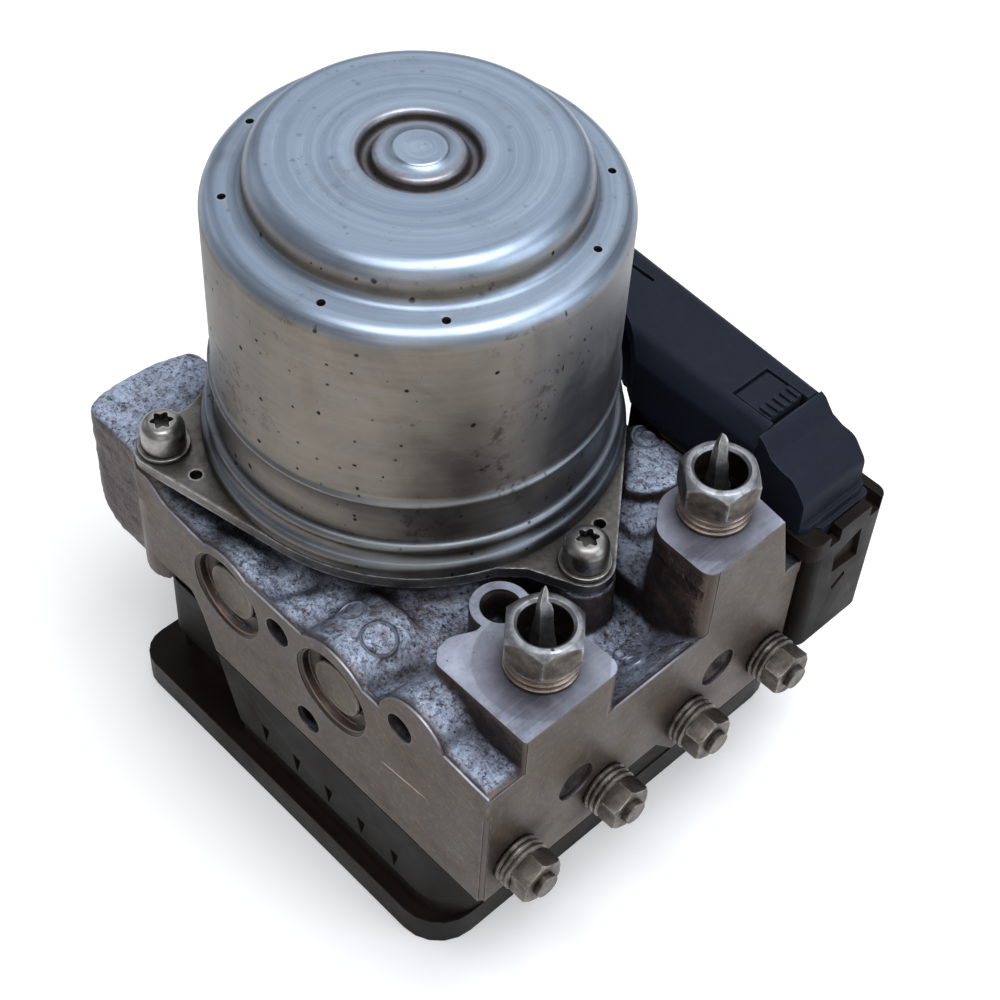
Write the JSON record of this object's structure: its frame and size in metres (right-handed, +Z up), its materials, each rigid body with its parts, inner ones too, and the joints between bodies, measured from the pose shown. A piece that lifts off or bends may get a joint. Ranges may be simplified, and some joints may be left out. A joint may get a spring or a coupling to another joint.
{
  "type": "abs brake module",
  "caption": "Anti-lock brake module: a pump motor on a cast aluminium valve block with pipe nuts, over a black electronics housing with its plugged connector.",
  "frame": {"origin": "motor axis on the underside of the tray lid", "axes": "+Z up along the motor axis, +X towards the face with the four small pipe nuts, -Y towards the face with the two round plugs"},
  "size_m": [0.124, 0.1019, 0.1311],
  "materials": {
    "can_steel": "zinc plated, worn",
    "flange_steel": "plated, stained",
    "screw_steel": "plated",
    "cast_aluminium": "as cast and machined",
    "plug_steel": "dull",
    "nut_zinc": "olive zinc, worn rims",
    "pipe_steel": "sheared ends",
    "dark_nut_steel": "grimy",
    "housing_plastic": "moulded, satin",
    "lid_plastic": "moulded, satin",
    "plug_plastic": "moulded, satin",
    "seal_rubber": "matte",
    "plug_seal_rubber": "matte",
    "magnet_ferrite": "sintered",
    "brush_plastic": "moulded",
    "carbon": "pressed carbon",
    "spring_steel": "wire",
    "bearing_steel": "ground",
    "shaft_steel": "ground",
    "bronze": "sintered",
    "lamination_steel": "stacked sheet",
    "copper": "enamelled",
    "coil_black": "moulded over steel",
    "board_green": "solder mask",
    "part_black": "moulded",
    "pin_tin": "tinned"
  },
  "bodies": {
    "modulator": {"motor_can": "can_steel", "motor_flange": "flange_steel", "motor_screws": "screw_steel", "screw_washers": "screw_steel", "motor_magnets": "magnet_ferrite", "brush_plate": "brush_plastic", "carbon_brushes": "carbon", "brush_springs": "spring_steel", "motor_terminals": "part_black", "top_bush": "bronze", "bearing_outer_race": "bearing_steel", "valve_block": "cast_aluminium", "pump_sleeves": "shaft_steel", "pump_plugs": "plug_steel", "pump_spring_front": "spring_steel", "pump_spring_rear": "spring_steel", "accumulator_plugs": "plug_steel", "accumulator_spring_front": "spring_steel", "accumulator_spring_rear": "spring_steel", "gallery_plugs": "dark_nut_steel", "inlet_nuts": "nut_zinc", "inlet_pipe_stubs": "pipe_steel", "outlet_nuts": "dark_nut_steel", "outlet_pipe_stubs": "pipe_steel", "valve_cartridges": "shaft_steel", "solenoid_coils": "coil_black", "ecu_housing": "housing_plastic", "ecu_lid": "lid_plastic", "ecu_gasket": "seal_rubber", "ecu_screws": "screw_steel", "circuit_board": "board_green", "board_parts": "part_black", "header_pins": "pin_tin", "plug_body": "plug_plastic", "wire_cover": "plug_plastic", "plug_seal": "plug_seal_rubber"},
    "rotor": {"rotor_shaft": "shaft_steel", "armature_core": "lamination_steel", "armature_windings": "copper", "commutator": "copper", "pump_eccentric": "shaft_steel", "eccentric_ring": "bearing_steel", "bearing_inner_race": "bearing_steel", "bearing_balls": "bearing_steel"},
    "front_pump_piston": {"pump_piston_front": "shaft_steel"},
    "rear_pump_piston": {"pump_piston_rear": "shaft_steel"},
    "front_accumulator": {"accumulator_piston_front": "shaft_steel", "accumulator_seal_front": "seal_rubber"},
    "rear_accumulator": {"accumulator_piston_rear": "shaft_steel", "accumulator_seal_rear": "seal_rubber"},
    "release_tongue": {"plug_latch": "plug_plastic"}
  },
  "joints": [
    {"name": "motor_spin", "type": "hinge", "parent": "modulator", "child": "rotor", "pos_m": [0, 0, 0.09], "axis": [0, 0, 1], "continuous": true},
    {"name": "front_pump_stroke", "type": "slide", "parent": "modulator", "child": "front_pump_piston", "axis": [0, -1, 0], "range_m": [0, 0.002], "stiffness_N_per_m": 800, "deforming": ["pump_spring_front"]},
    {"name": "rear_pump_stroke", "type": "slide", "parent": "modulator", "child": "rear_pump_piston", "axis": [0, 1, 0], "range_m": [0, 0.002], "stiffness_N_per_m": 800, "deforming": ["pump_spring_rear"]},
    {"name": "front_accumulator_travel", "type": "slide", "parent": "modulator", "child": "front_accumulator", "axis": [0, -1, 0], "range_m": [0, 0.005], "stiffness_N_per_m": 1500, "deforming": ["accumulator_spring_front"]},
    {"name": "rear_accumulator_travel", "type": "slide", "parent": "modulator", "child": "rear_accumulator", "axis": [0, 1, 0], "range_m": [0, 0.005], "stiffness_N_per_m": 1500, "deforming": ["accumulator_spring_rear"]},
    {"name": "tongue_press", "type": "hinge", "parent": "modulator", "child": "release_tongue", "pos_m": [0.0456, 0.0412, 0.08185], "axis": [0, 1, 0], "range_deg": [0, 6], "stiffness_Nm_per_rad": 1.5}
  ]
}
